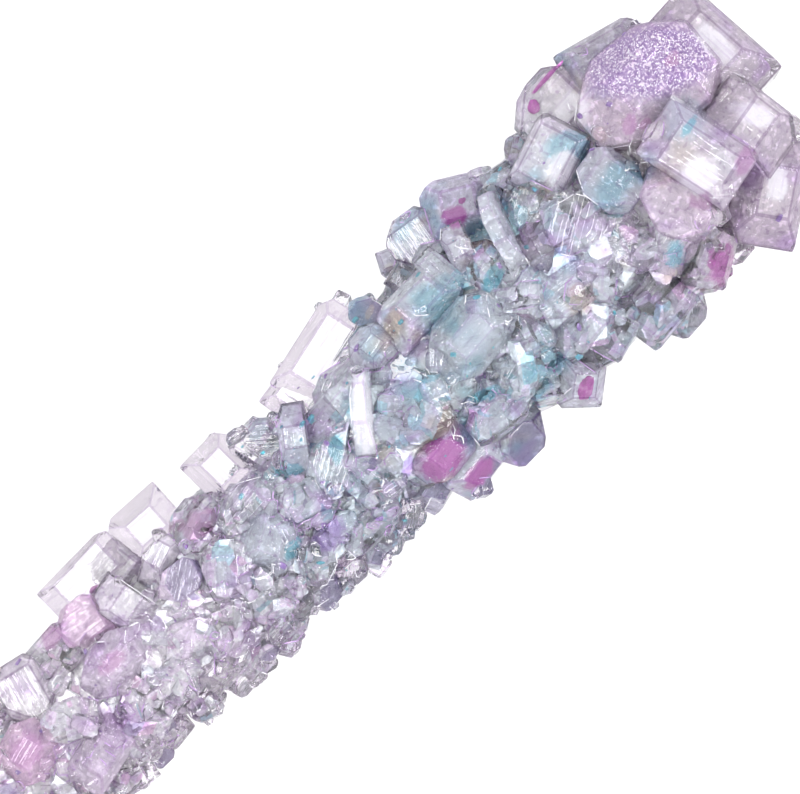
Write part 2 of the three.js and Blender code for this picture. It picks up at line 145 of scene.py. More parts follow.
# The crystals of the upper side, in millimetres and degrees: their place along and across the stick; size;
# turn of the length seen from above; lean of the front face across and its nod along the stick; rise.
Crystal = namedtuple("Crystal", "along across length width depth turn lean nod rise habit look")
UPPER = [
    # the head
    (92.3, 4.5, 12, 7.4, 8.4, 94, 4, 12, 0, "tablet", "bright"),
    (78.2, 10.4, 8.6, 7, 7, 4, 16, -6, 0.5, "hexagon", "bright"),
    (84.6, 10.4, 8.4, 6, 6, -15, 20, 0, -0.5, "block", "grey"),
    (90.4, 8.6, 4.4, 3.6, 4, -6, 20, 10, 0, "block", "shards"),
    (85.1, -1.8, 9.8, 6.2, 7, -77, -4, -8, 1.6, "block", "frost"),
    (80.4, -3.6, 7.6, 6.2, 7, -68, -14, -8, 0, "rhomb", "mauve"),
    (87.2, -9.2, 10.4, 7, 7, 37, -16, 6, 0.8, "tablet", "blush"),
    (90.2, -3.4, 9, 6.2, 7, -80, -2, 20, 0.6, "chisel", "bright"),
    (85.6, 6.3, 14, 10.4, 9, -4, 14, 2, 1.2, "boulder", "mauve"),
    # the shoulder behind it
    (74, 7.4, 7.6, 5.6, 6, 20, 16, -6, 0.6, "block", "bright"),
    (72.4, 10.2, 3.4, 2.8, 3, 42, 30, 0, 0, "hexagon", "shards"),
    (68.9, 9.6, 3.2, 2.4, 3, -12, 30, 0, 0, "block", "shards"),
    (66.9, 8.9, 2.4, 2.4, 3, 30, 20, 0, 0, "rhomb", "clear"),
    (69.6, 5.4, 4.6, 4.2, 4, 24, 14, -8, 0, "hexagon", "shards"),
    (76.6, 2, 6.4, 5.2, 5, 100, 2, 6, 0, "hexagon", "grey"),
    (71.3, 1.4, 5.8, 5.8, 5, 32, 4, -6, 0.2, "rhomb", "shards"),
    (74.4, -4.8, 8.4, 3.6, 5, -58, -12, 4, 0.4, "chisel", "shards"),
    (69, -3.4, 5.4, 4.6, 5, 42, -4, -10, 0, "tablet", "shards"),
    (71.3, -9.4, 6.6, 5.8, 6, 8, -26, 0, 0.2, "block", "shards"),
    (73, -11.6, 4.8, 4, 5, 46, -40, 0, 0.2, "rhomb", "shards"),
    (78.4, -9.4, 6.2, 5.4, 6, 36, -30, 4, 0.4, "tablet", "shards"),
    (77.4, -5.6, 4, 3.6, 4, 10, -10, 12, 0, "hexagon", "shards"),
    # the blue middle
    (58.8, 10.6, 6.2, 5.2, 6, 82, 14, -8, 0.4, "hexagon", "bright"),
    (63.9, 10.4, 7.2, 6.2, 6, -32, 18, 6, 0.6, "tablet", "mauve"),
    (55.4, 11.4, 2.8, 2.2, 2.4, -24, 20, 0, 0, "block", "bright"),
    (54.9, 9.4, 2.6, 2.4, 2.4, 16, 10, 0, 0, "block", "clear"),
    (58.3, 7.2, 4.8, 2.4, 3.4, 96, 8, 0, 0.8, "block", "shards"),
    (61.2, 7.4, 5.2, 2.6, 3.4, 74, 8, 0, 0.8, "chisel", "bright"),
    (65.5, 5.8, 7.8, 1.9, 3.4, 75, 6, -8, 1.6, "splinter", "pale"),
    (62, 4, 4.2, 3.8, 4, 12, 4, 8, 0.2, "tablet", "shards"),
    (67.2, 2, 5.4, 3.8, 4, 76, 2, 8, 0.2, "boulder", "clear"),
    (56, 0.6, 10.2, 6.4, 6, 6, 2, -2, 0.2, "boulder", "smooth"),
    (54.6, 6, 9.2, 5.2, 6, 2, 18, 0, 0, "tablet", "pale"),
    (63.2, 0, 6.2, 5.8, 5, 22, -2, 4, 0, "boulder", "shards"),
    (66.6, -2.8, 7.2, 4.4, 5, -8, -6, 2, 0, "hexagon", "shards"),
    (60.4, -3.6, 4.4, 3.6, 4, -16, -8, -6, 0, "tablet", "shards"),
    (57, -5.4, 5.4, 4.4, 5, 16, -14, -4, 0.4, "boulder", "shards"),
    (64.4, -6.3, 5.8, 3.6, 4.4, 6, -20, 6, 0.2, "tablet", "shards"),
    (66.4, -8.3, 4.8, 4.2, 5, 20, -26, 4, 0, "block", "shards"),
    (60.6, -9.8, 5.4, 5, 5, 43, -30, 0, 0.4, "tablet", "bright"),
    (63.7, -9.2, 3.8, 3.2, 4, -20, -34, 0, 0, "splinter", "clear"),
    (52.4, -6.6, 6, 3.8, 5, -6, -24, 0, 0.2, "hexagon", "shards"),
    (52.3, -9.6, 4.8, 4.4, 5, 45, -36, 0, 0.2, "rhomb", "cut"),
    # the neck
    (43.9, 8.6, 10, 7.2, 6, 14, 2, 2, 0.4, "block", "clear"),
    (40.3, 7.8, 7.4, 6.2, 5, 10, 6, -4, -0.2, "block", "clear"),
    (50, 9, 3.4, 3.4, 4, -30, 16, 0, 0.2, "rhomb", "cut"),
    (48, 6.4, 4.8, 4.4, 4.4, 10, 8, 4, 0.8, "boulder", "bright"),
    (43, 2.4, 8.2, 2, 3.4, 51, 2, -2, 1.8, "splinter", "white"),
    (41, 4.4, 8, 3.8, 4, 5, 6, 0, 0, "tablet", "shards"),
    (36, 5.2, 7, 2.8, 4, 55, 8, 4, 0.8, "chisel", "bright"),
    (34.2, 6.8, 4.4, 4, 4, -40, 16, -4, 0.2, "rhomb", "shards"),
    (46.6, -1, 7.4, 6.2, 5.4, -20, -2, -4, 0, "hexagon", "shards"),
    (46, -5.4, 6.8, 5.2, 6, 8, -16, 0, 0.6, "boulder", "pink"),
    (47.3, -8.6, 6.6, 4.4, 5, 12, -40, 0, 0.8, "tablet", "cut"),
    (42.4, -7.9, 3.6, 3.6, 3.6, 20, -40, 0, 0.4, "splinter", "cut"),
    # the slender part
    (28.3, 7.8, 6.4, 5.4, 6, 92, 8, 2, 0.4, "tablet", "clear"),
    (32.2, 7, 4.8, 2.8, 4, 104, 8, 4, 0.2, "block", "clear"),
    (23, 5.8, 5.6, 4.2, 4.4, 8, 14, 2, 0.2, "hexagon", "shards"),
    (18.6, 9.2, 6.8, 5.6, 5, -2, 6, 4, 0, "tablet", "clear"),
    (10.9, 9.6, 9, 4.4, 5, 2, 8, -2, -0.2, "block", "clear"),
    (14, 8, 5.2, 5.2, 5, 10, 8, 2, 0.8, "tablet", "bright"),
    (12.1, 4.6, 6.8, 3.8, 4.4, 102, 6, 4, 0.4, "chisel", "bright"),
    (8.2, 6, 5.8, 5, 5, -8, 12, -4, 0.2, "hexagon", "pink"),
    (3.5, 5.8, 5.2, 4.6, 5, 5, 14, 2, 0.2, "block", "shards"),
    (-1, 5.4, 6.4, 5.2, 5, 78, 10, 0, 0.4, "hexagon", "bright"),
    (17.8, 5.6, 5.4, 2.6, 3.6, 20, 10, -4, 0.4, "splinter", "bright"),
    (18.1, 2.8, 4.2, 3.8, 4, 35, 4, 6, 0.2, "rhomb", "cut"),
    (-5, 1, 6.8, 5.4, 5.4, 16, 2, -4, 0.2, "boulder", "pink"),
    (0.5, 0.3, 5.8, 4, 4.4, -22, 2, 4, 0.2, "hexagon", "shards"),
    (7.7, 1.4, 8, 5.2, 5.4, 2, 4, 0, 0.4, "boulder", "lilac"),
    (14, -1.2, 6.6, 5.4, 5.2, -10, -4, 4, 0.2, "boulder", "shards"),
    (0, -3.8, 7.2, 5, 5.2, 12, -12, -4, 0, "tablet", "lilac"),
    (7, -2.8, 4.6, 4, 4.2, 30, -8, 6, 0, "rhomb", "shards"),
    (11, -3.6, 4.6, 4.2, 4.4, 70, -10, -4, 0, "hexagon", "shards"),
    (5, -5.6, 5.2, 3.8, 4.2, -14, -26, 0, 0, "hexagon", "shards"),
    (22, 0.6, 5.8, 5.2, 5, 50, 2, -6, 0, "tablet", "shards"),
    (17.6, -3.4, 5.2, 4.4, 4.4, 22, -10, 4, 0, "rhomb", "shards"),
    (23.2, -4.2, 5.4, 4.8, 4.6, -34, -14, 0, 0, "hexagon", "shards"),
    (14.6, -5.8, 4.6, 3.6, 4, 8, -30, 0, 0, "tablet", "clear"),
    (27.2, -0.4, 6.6, 5.6, 5.2, 26, -2, 4, 0, "boulder", "grey"),
    (28, 3.6, 6.2, 3.8, 4.2, 5, 8, -4, 0, "hexagon", "shards"),
    (32.6, 0.2, 6.2, 4.8, 5, -16, 0, -4, 0, "tablet", "shards"),
    (32.3, -3.9, 4.6, 3.2, 4, 12, -12, 2, 0.4, "boulder", "shards"),
    (29.2, -4.8, 4.4, 3.6, 4, 60, -20, 0, 0, "rhomb", "shards"),
    (37.2, 0.6, 5.4, 4.8, 5, 32, 2, 6, 0, "hexagon", "shards"),
    (38.8, -4.2, 5.4, 3.6, 4.2, 10, -14, -4, 0.2, "tablet", "shards"),
    (41, -1.2, 5.6, 4.4, 4.6, -12, -2, 4, 0, "hexagon", "shards"),
    (35.4, -5.8, 6, 3.6, 4, 2, -26, 0, 0, "hexagon", "shards"),
    # the small ones along the lower edge
    (0, -7.4, 3.4, 3.2, 3.4, 30, -40, 0, 0, "rhomb", "shards"),
    (1.6, -8.6, 2.8, 1.8, 2.2, 80, -40, 0, 0, "splinter", "clear"),
    (3.9, -7.9, 2.8, 2.4, 2.6, 42, -40, 0, 0, "rhomb", "cut"),
    (6.6, -7.4, 3.2, 2.4, 2.6, 12, -50, 0, 0, "block", "clear"),
    (10.6, -7.7, 3.6, 3.4, 3.6, 64, -40, 0, 0.2, "boulder", "shards"),
    (15.8, -7.9, 4.2, 3.4, 3.6, 10, -44, 0, 0.2, "hexagon", "shards"),
    (19.1, -7.8, 2.4, 1.8, 2.4, -20, -50, 0, 0, "rhomb", "cut"),
    (21.7, -7.7, 4.8, 3.6, 4, 6, -40, 0, 0.2, "boulder", "shards"),
    (25, -7.2, 2.8, 2, 2.4, 4, -50, 0, 0, "block", "clear"),
    (27.5, -7.5, 3.6, 3, 3.2, 48, -40, 0, 0, "rhomb", "cut"),
    (30.7, -7.6, 3.4, 3.2, 3.2, 42, -44, 0, 0, "rhomb", "clear"),
    (33.5, -8.2, 3.2, 2.8, 3, 28, -40, 0, 0, "tablet", "cut"),
    (35.9, -7.9, 3.6, 3.2, 3.4, 50, -40, 0, 0, "hexagon", "shards"),
    (38.8, -7.7, 3.8, 3, 3.4, 38, -44, 0, 0, "rhomb", "clear"),
]
UPPER = [Crystal(*row) for row in UPPER]

# The crystals all round wind round the stick at the golden angle. Those on the upper side are small and
# fill the gaps between the others. Sizes are shares of the reach, then of the length.
GOLDEN_ANGLE = 137.508
GOLDEN_SHARE = 0.618034
ROUND = {
    "count": 148,
    "span": (-14.5, 93),
    "upper_half_angle": 62,
    "upper_from": -8,
    "size": (0.5, 0.86),
    "filler_size": (0.22, 0.36),
    "width": (0.6, 0.95),
    "depth": (0.65, 0.95),
    "tip": 30,
    "seed": 20417,
}

# Soft stains in the milky candy, some of them white patches that are painted highlights: along, across,
# length, width in millimetres, turn, colour.
STAINS = [
    (45.8, -6.3, 5, 3.8, 12, "magenta"),
    (47.2, -10, 3.8, 1.9, 8, "magenta"),
    (79.2, -11.2, 3.2, 2.5, 40, "magenta"),
    (81.8, -5.3, 2.7, 2.2, 70, "pink"),
    (87.4, -5.6, 3.2, 1.8, 20, "pink"),
    (81.8, 4.8, 2.2, 1.2, 30, "pink"),
    (83, 3.9, 1.4, 0.9, 10, "pink"),
    (89.3, 6.5, 1.8, 1.3, 0, "pink"),
    (23.2, 5.7, 4.2, 2.5, 4, "pink"),
    (4.7, 7.4, 2.4, 1.4, 0, "pink"),
    (7.6, 1.7, 3.4, 1.9, 0, "pink"),
    (-5, 1.2, 3.8, 3, 20, "pink"),
    (32.2, -4.1, 3.8, 2.6, 10, "violet"),
    (63.2, 10.1, 2.6, 2.4, 10, "magenta"),
    # Painted highlights: the frost rows are white patches that brighten the whitest crystals.
    (43, 2.4, 8.2, 2.2, 51, "frost"),
    (83.2, -3.6, 3.8, 3.6, 20, "frost"),
    (86.4, 1.4, 4.6, 4.4, 30, "slate"),
    (56.6, 0.4, 5.2, 3.6, 20, "slate"),
    (93.6, 4.6, 2.6, 5.4, 4, "frost"),
    (79, 9.6, 4.2, 3.6, 20, "frost"),
    (91.4, -3, 4.2, 2.4, -60, "frost"),
    (74.2, 6.4, 3.4, 2.8, 20, "frost"),
    (88.6, -9.4, 3.6, 2.2, 37, "frost"),
    (42.5, -4.6, 2.2, 1, 30, "violet"),
    (85.7, 0.6, 2.2, 0.9, 13, "teal"),
    (76.4, -7.4, 2.6, 1.6, 30, "teal"),
    (61.5, 3.2, 3, 1.4, 20, "teal"),
    (33.6, 3.4, 3.4, 1.6, -40, "teal"),
    (38.6, 1.6, 3, 1.5, 50, "teal"),
    (28.4, -2.6, 2.6, 1.2, 10, "teal"),
    (53, -4.6, 2.8, 1.1, -20, "teal"),
    (42, -2, 2.2, 1.1, 0, "birch"),
    (38.8, -4.2, 1.8, 0.9, 40, "birch"),
    (50.4, 9.2, 1.6, 0.7, 20, "birch"),
]
STAIN_HEIGHT = 8  # above the axis
STAIN_STRENGTH = 0.7
STAIN_STRENGTHS = {"magenta": 0.9, "frost": 0.85, "birch": 0.3}
MILK_SPAN = (-0.031, 0.081)  # metres, from one end of the milky candy's zones to the other

# The glittering crystal of the head, whose white specks are painted glints: the middle of its glitter along
# and across the stick, and its turn.
GLITTER = (87.6, 7.7)
GLITTER_TURN = -32

# Where the camera looks from above, in metres: the middle of its view, and the height it is set for.
VIEW_CENTRE = (0.0311, 0.0012)
VIEW_HEIGHT = 0.016

# Drops of colouring under the clear faces: along, across, length, width in millimetres, turn, colour.
DYE_SPOTS = [
    (60.7, -11.4, 2.6, 1.7, 30, "magenta"),
    (76.3, 12.8, 1.5, 1.3, 60, "magenta"),
    (79.2, 14, 4.6, 0.5, 3, "magenta"),
    (64.7, 11, 1, 0.8, 0, "magenta"),
    (10.7, 8.4, 1.2, 0.5, 0, "pink"),
    (49, 11, 1.2, 0.8, 30, "pink"),
]


# ---- Settings that a user would change ----


def length_of(name, description, size, precision=4):
    """A setting for a length, given in millimetres."""
    values = {"default": size * MM, "unit": "LENGTH", "precision": precision}
    return FloatProperty(name=name, description=description, **values)


def share_of(name, description, default):
    return FloatProperty(name=name, description=description, default=default, subtype="FACTOR")


def span_of(name, description, *default):
    """A setting for a least and a greatest value."""
    return FloatVectorProperty(name=name, description=description, default=default, size=2)


def count_of(name, description, default):
    return IntProperty(name=name, description=description, default=default)


def colour_of(name, description, *default):
    """A setting for a colour, given as linear red, green and blue."""
    return FloatVectorProperty(name=name, description=description, default=default, subtype="COLOR")


def power_of(name, description, default):
    return FloatProperty(name=name, description=description, default=default, unit="POWER")


class CandyShape(bpy.types.PropertyGroup):
    slope: FloatProperty(
        name="Slope",
        description="How steeply the stick climbs towards the head",
        default=math.radians(3),
        subtype="ANGLE",
    )
    along: length_of("Along", "Where the stick's zero mark lies", -15.2)
    across: length_of("Across", "How far the stick lies to the side", 0.2)
    axis_height: length_of("Axis height", "Height of the stick's axis at its zero mark", 7.9)
    heart: span_of("Heart", "Least and greatest share of a crystal that is milky", 0.92, 0.98)
    bright_heart: span_of("Bright heart", "The same for the crystals with white hearts", 0.8, 0.88)
    rind: length_of("Rind", "How far a milky heart lies under its face", 0.3, 5)
    overlap: FloatProperty(
        name="Overlap", description="How much wider a crystal is than what shows of it", default=1.07, min=1
    )
    edge: share_of("Edge", "Width of a crystal's worn edges as a share of its size", 0.03)
    frame: share_of("Frame", "Width of a clear crystal's edges as a share of its size", 0.02)
    tries: count_of("Small crystals", "How many places a small crystal may fill", 1700)
    deep_shards: count_of("Deep shards", "How many shards lie on the core", 900)
    near_shards: count_of("Near shards", "How many shards lie under the faces", 2000)
    # Painted light: white facets that lift the shade of the deep shards.
    deep_painted_light: share_of("White depths", "Share of the deep shards' facets that are white", 0.24)
    # The dust grains are partly painted glints.
    dust: count_of("Dust", "How many grains of sugar dust glint on the surface", 2400)
    glitter: count_of("Glitter", "How many grains lie on the glittering crystal", 1300)
    teal_flecks: count_of("Teal flecks", "How many flecks are blue-green", 80)
    violet_flecks: count_of("Violet flecks", "How many flecks are violet", 70)
    thread: length_of("Thread", "Half the thickness of the threads", 0.07, 6)
    stick_radius: length_of("Stick radius", "Half the stick's thickness", 2.25, 5)


class CandyColours(bpy.types.PropertyGroup):
    lilac: colour_of("Lilac", "Crystals at both ends", 0.95, 0.92, 0.96)
    blue: colour_of("Blue", "Crystals in the middle", 0.91, 0.94, 0.965)
    clear: colour_of("Clear", "The clearest crystals", 0.965, 0.95, 0.97)
    # Painted shade: the five tints below, for facets that slope away and for edges, darken them as shade
    # would, over the lilac of the sugar.
    side: colour_of("Side", "Tint of the facets that slope away", 0.94, 0.905, 0.95)
    seam: colour_of("Edge", "Tint of the crystals' edges", 0.70, 0.52, 0.76)
    clear_side_shade: colour_of("Clear side", "Tint of a clear crystal's sides", 0.83, 0.77, 0.86)
    slab_side_shade: colour_of("Slab side", "Tint of the sides of the clearest slabs", 0.60, 0.53, 0.61)
    clear_edge_shade: colour_of("Clear edge", "Tint of a clear crystal's edges", 0.44, 0.35, 0.49)
    thread: colour_of("Threads", "Colouring in the grooves", 0.46, 0.29, 0.58)
    # Painted glints: the white threads on ridges, partly frosted edges.
    frost_and_painted_glint: colour_of("Glints", "Frosted ridges", 0.86, 0.86, 0.89)
    magenta: colour_of("Magenta", "Strong spots of colouring", 0.40, 0.08, 0.36)
    pink: colour_of("Pink", "Faint spots of colouring", 0.50, 0.26, 0.48)
    violet: colour_of("Violet", "Violet stains and flecks", 0.30, 0.20, 0.50)
    teal: colour_of("Teal", "Blue-green stains and flecks", 0.10, 0.45, 0.55)
    # Painted highlight: the white of the frost patches in the whitest crystals.
    frost: colour_of("Frost", "White stains in the whitest crystals", 0.90, 0.90, 0.93)
    # Partly painted glints: the white of the dust grains.
    powder_and_painted_glint: colour_of("Powder", "The grains of sugar dust", 0.93, 0.90, 0.95)
    slate: colour_of("Slate", "Blue-grey depths of the large crystals", 0.50, 0.56, 0.63)
    birch: colour_of("Birch", "The bare stick", 0.54, 0.40, 0.24)


class CandyStage(bpy.types.PropertyGroup):
    floor: FloatProperty(name="Floor", description="Width of the floor", default=3.0, unit="LENGTH")
    view_width: length_of("View width", "Width that the camera takes in", 80)
    camera_distance: FloatProperty(
        name="Camera distance",
        description="Distance from the camera to the candy",
        default=0.6,
        unit="LENGTH",
    )
    roll: FloatProperty(
        name="Camera roll",
        description="Angle of the stick across the picture",
        default=math.radians(43.7),
        subtype="ANGLE",
    )
    key: power_of("Key light", "Power of the main light", 1.3)
    overhead: power_of("Overhead light", "Power of the light above", 0.4)
    fill: power_of("Fill light", "Power of the light on the far side", 1.3)
    sky: FloatProperty(name="Surroundings", description="Brightness of the studio's walls", default=2.05)


# ---- Placing ----


def lying(shape):
    """The candy's own frame, in millimetres along, across and up, set down at its slope, in metres."""
    move = Matrix.Translation((shape.along, shape.across, shape.axis_height))
    return move @ Matrix.Rotation(-shape.slope, 4, "Y") @ Matrix.Scale(MM, 4)


def value_at(profile, along):
    """The value at a place along the stick, straight between the stations of a profile."""
    if along < profile[0][0]:
        return profile[0][1]
    for (a, low), (b, high) in zip(profile, profile[1:]):
        if along < b:
            return low + (high - low) * (along - a) / (b - a)
    return profile[-1][1]


def mix(pair, share):
    return pair[0] + (pair[1] - pair[0]) * share


def draws(seed):
    """A seeded row of numbers from 0 to 1."""
    factor, step, size = 1664525, 1013904223, 2**32
    state = seed
    while True:
        state = (state * factor + step) % size
        yield state / size


def height_at(along, across, depth):
    """Height above the axis at which a crystal of some depth lies just under the reach."""
    reach = value_at(REACH, along)
    return reach * math.sqrt(1 - min(abs(across) / reach, 1) ** 2) - depth


def placement(size, centre, turn, lean, nod, roll=0.0):
    """Sets a unit block to its size, attitude and place in the candy's frame. Roll goes round the stick."""
    attitude = (
        Matrix.Rotation(-math.radians(roll), 4, "X")
        @ Matrix.Rotation(math.radians(nod), 4, "Y")
        @ Matrix.Rotation(-math.radians(lean), 4, "X")
        @ Matrix.Rotation(math.radians(turn), 4, "Z")
    )
    return Matrix.Translation(centre) @ attitude @ Matrix.Diagonal((*size, 1))


def upper_placement(crystal, overlap):
    """The place of a crystal of the upper side."""
    height = max(height_at(crystal.along, crystal.across, crystal.depth / 2) + crystal.rise, 0)
    size = (crystal.length * overlap, crystal.width * overlap, crystal.depth)
    centre = (crystal.along, crystal.across, height)
    return placement(size, centre, crystal.turn, crystal.lean, crystal.nod)


def round_the_stick(radius, along, roll):
    """A place at a distance from the axis. Roll 0 is straight up."""
    angle = math.radians(roll)
    return (along, radius * math.sin(angle), radius * math.cos(angle))


# ---- Modelling ----


def deselect():
    bpy.ops.object.select_all(action="DESELECT")


def only(obj):
    """Selects one object and makes it active."""
    deselect()
    obj.select_set(True)
    bpy.context.view_layer.objects.active = obj


def apply_modifiers(obj):
    only(obj)
    for modifier in list(obj.modifiers):
        bpy.ops.object.modifier_apply(modifier=modifier.name)


def discard(objects):
    for obj in objects:
        bpy.data.objects.remove(obj)


def habit_pattern(name, slices, edge, rounds):
    """A unit block with its slices off and its edges worn. Worn edges are in the second material slot."""
    deselect()
    bpy.ops.mesh.primitive_cube_add(size=1)
    obj = bpy.context.object
    obj.name = f"pattern_{name}"
    for part in ("face", "edge"):
        obj.data.materials.append(bpy.data.materials.get(part) or bpy.data.materials.new(part))
    bpy.ops.object.mode_set(mode="EDIT")
    for x, y, z, bite in slices:
        direction = Vector((x, y, z))
        corner = (abs(x) + abs(y) + abs(z)) / 2
        distance = corner * (1 - bite) / direction.length
        direction.normalize()
        bpy.ops.mesh.select_all(action="SELECT")
        at = direction * distance
        bpy.ops.mesh.bisect(plane_co=at, plane_no=direction, use_fill=True, clear_outer=True)
    bpy.ops.object.mode_set(mode="OBJECT")
    if edge:
        bevel = obj.modifiers.new("worn edges", "BEVEL")
        bevel.width = edge
        bevel.segments = rounds
        bevel.limit_method = "ANGLE"
        bevel.angle_limit = math.radians(20)
        bevel.material = 1
        apply_modifiers(obj)
    return obj


def patterns(edge, rounds=2):
    return {name: habit_pattern(name, slices, edge, rounds) for name, slices in HABITS.items()}


def plain(face, side, edge):
    """Tints for the front and back, the other facets and the worn edges. The darker tints of the other
    facets and the edges are painted shade.
    """
    straight = 0.95  # least share of a facet's normal that points along the block's depth

    def tone(polygon):
        # Painted shade: a facet that slopes away takes the darker side tint, a worn edge the darker edge
        # tint.
        flat = face if abs(polygon.normal.z) > straight else side
        return edge if polygon.material_index else flat

    return tone


def white(polygon):
    return (1, 1, 1)


def set_tint(mesh, tone):
    """Keeps the tint of each facet as a colour attribute."""
    tint = mesh.color_attributes.new("tint", "BYTE_COLOR", "CORNER")
    colours = []
    for polygon in mesh.polygons:
        colours += [*tone(polygon), 1] * polygon.loop_total
    tint.data.foreach_set("color", colours)


def copies(laid, lay):
    """Copies each pattern to its place, tinted, with its own coordinates in millimetres as an attribute."""
    apart = 7  # so that no two copies have the same coordinates
    made = []
    for i, (pattern, place, tone) in enumerate(laid):
        mesh = pattern.data.copy()
        set_tint(mesh, tone)
        size = place.to_scale()
        own = mesh.attributes.new("own", "FLOAT_VECTOR", "CORNER")
        places = []
        for loop in mesh.loops:
            x, y, z = mesh.vertices[loop.vertex_index].co * size
            places += [x + apart * i, y, z]
        own.data.foreach_set("vector", places)
        mesh.transform(lay @ place)
        mesh.polygons.foreach_set("material_index", [0] * len(mesh.polygons))
        mesh.materials.clear()
        obj = bpy.data.objects.new("copy", mesh)
        bpy.context.collection.objects.link(obj)
        made.append(obj)
    return made


def made_of(piece, material):
    """Gives a whole piece one material."""
    piece.data.polygons.foreach_set("material_index", [0] * len(piece.data.polygons))
    piece.data.materials.clear()
    piece.data.materials.append(material)


def joined(pieces, name, material):
    """Loose pieces as one object."""
    deselect()
    for obj in pieces:
        obj.select_set(True)
    bpy.context.view_layer.objects.active = pieces[0]
    bpy.ops.object.join()
    piece = bpy.context.object
    piece.name = name
    made_of(piece, material)
    return piece


def fused(base, others):
    """Grows pieces together, with nothing left of the facets inside."""
    grown = bpy.data.collections.new("grown together")
    for obj in others:
        grown.objects.link(obj)
    union = base.modifiers.new("fused", "BOOLEAN")
    union.operation = "UNION"
    union.operand_type = "COLLECTION"
    union.collection = grown
    union.solver = "MANIFOLD"
    apply_modifiers(base)
    discard(others)
    bpy.data.collections.remove(grown)
    return base


def trimmed(piece):
    """Flattens what would sink into the surface under it."""
    only(piece)
    bpy.ops.object.mode_set(mode="EDIT")
    bpy.ops.mesh.select_all(action="SELECT")
    bpy.ops.mesh.bisect(
        plane_co=(0, 0, 0), plane_no=(0, 0, -1), use_fill=True, clear_outer=True, threshold=0.001 * MM
    )
    bpy.ops.object.mode_set(mode="OBJECT")
    return piece


def turned(profile, sides, name):
    """A bar with a thickness that follows a profile, along X in millimetres."""
    deselect()
    bpy.ops.mesh.primitive_circle_add(vertices=sides, radius=profile[0][1], fill_type="NGON")
    piece = bpy.context.object
    piece.name = name
    bpy.ops.object.mode_set(mode="EDIT")
    height = 0.0
    for (a, low), (b, high) in zip(profile, profile[1:]):
        height += b - a
        bpy.ops.mesh.extrude_region_move(TRANSFORM_OT_translate={"value": (0, 0, b - a)})
        bpy.ops.transform.resize(value=(high / low, high / low, 1), center_override=(0, 0, height))
    bpy.ops.mesh.select_all(action="SELECT")
    bpy.ops.mesh.normals_make_consistent(inside=False)
    bpy.ops.object.mode_set(mode="OBJECT")
    piece.data.transform(Matrix.Translation((profile[0][0], 0, 0)) @ Matrix.Rotation(math.pi / 2, 4, "Y"))
    return piece


def met(piece, lay, start, way):
    """Where a line meets a piece and which way the facet there faces, all in the candy's frame."""
    hit, place, facing, _ = piece.ray_cast(lay @ start, (lay.to_3x3() @ way).normalized())
    if not hit:
        return None
    back = lay.inverted()
    return back @ place, (back.to_3x3() @ facing).normalized()


def met_from_outside(piece, lay, along, roll):
    """Where a line towards the stick's axis meets a piece."""
    start = Vector(round_the_stick(OUTSIDE, along, roll))
    return met(piece, lay, start, Vector((along, 0, 0)) - start)


def met_from_above(piece, lay, along, across):
    return met(piece, lay, Vector((along, across, OUTSIDE)), Vector((0, 0, -1)))


def distance(found):
    """How far a met place lies from the stick's axis."""
    return math.hypot(found[0].y, found[0].z)


def buried(piece, lay, place, cover):
    """Whether the ends, the sides and the top of a block lie under the piece's face."""
    for corner in ((0.5, 0, 0.3), (-0.5, 0, 0.3), (0, 0.5, 0.3), (0, -0.5, 0.3), (0, 0, 0.5)):
        spot = place @ Vector(corner)
        found = met_from_outside(piece, lay, spot.x, math.degrees(math.atan2(spot.y, spot.z)))
        if not found or distance(found) - cover < math.hypot(spot.y, spot.z):
            return False
    return True


def under_face(piece, lay, along, across, size, turn, cover):
    """A place under the facet seen from above, lying along it, with some sugar over it."""
    face, facing = met_from_above(piece, lay, along, across)
    lie = Vector((0, 0, 1)).rotation_difference(facing).to_matrix().to_4x4()
    move = Matrix.Translation(face - facing * (size[2] / 2 + cover))
    return move @ lie @ Matrix.Rotation(math.radians(turn), 4, "Z") @ Matrix.Diagonal((*size, 1))


def kept_free(along, across):
    """Whether a place lies in a crystal of the upper side that is clear or has a heart of its own."""
    for crystal in UPPER:
        if crystal.look != "shards":
            away = Vector((along - crystal.along, across - crystal.across))
            spot = Matrix.Rotation(-math.radians(crystal.turn), 2) @ away
            if abs(spot.x) < 0.5 * crystal.length and abs(spot.y) < 0.5 * crystal.width:
                return True
    return False


def creases(piece, least, taken, kind):
    """The edges where facets meet in a groove or a ridge sharper than an angle, as curves."""
    only(piece)
    bpy.ops.object.duplicate()
    copy = bpy.context.object
    mesh = copy.data
    sides = {}
    for polygon in mesh.polygons:
        for key in polygon.edge_keys:
            sides.setdefault(key, []).append(polygon)
    chosen = []
    for edge in mesh.edges:
        pair = sides.get(edge.key, ())
        middle = (mesh.vertices[edge.key[0]].co + mesh.vertices[edge.key[1]].co) / 2
        chosen.append(
            len(pair) == 2
            and (pair[0].normal.dot(pair[1].center - pair[0].center) > 0) == (kind == "groove")
            and pair[0].normal.angle(pair[1].normal, 0) > least
            and taken(middle)
        )
    only(copy)
    bpy.ops.object.mode_set(mode="EDIT")
    bpy.ops.mesh.select_mode(type="EDGE")
    bpy.ops.mesh.select_all(action="SELECT")
    bpy.ops.mesh.delete(type="ONLY_FACE")
    bpy.ops.mesh.select_all(action="DESELECT")
    bpy.ops.object.mode_set(mode="OBJECT")
    mesh.edges.foreach_set("select", [not keep for keep in chosen])
    bpy.ops.object.mode_set(mode="EDIT")
    bpy.ops.mesh.delete(type="EDGE")
    bpy.ops.object.mode_set(mode="OBJECT")
    bpy.ops.object.convert(target="CURVE")
    return bpy.context.object


def dress(piece, node):
    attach(piece, "root")
    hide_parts(node)


# ---- Tints ----


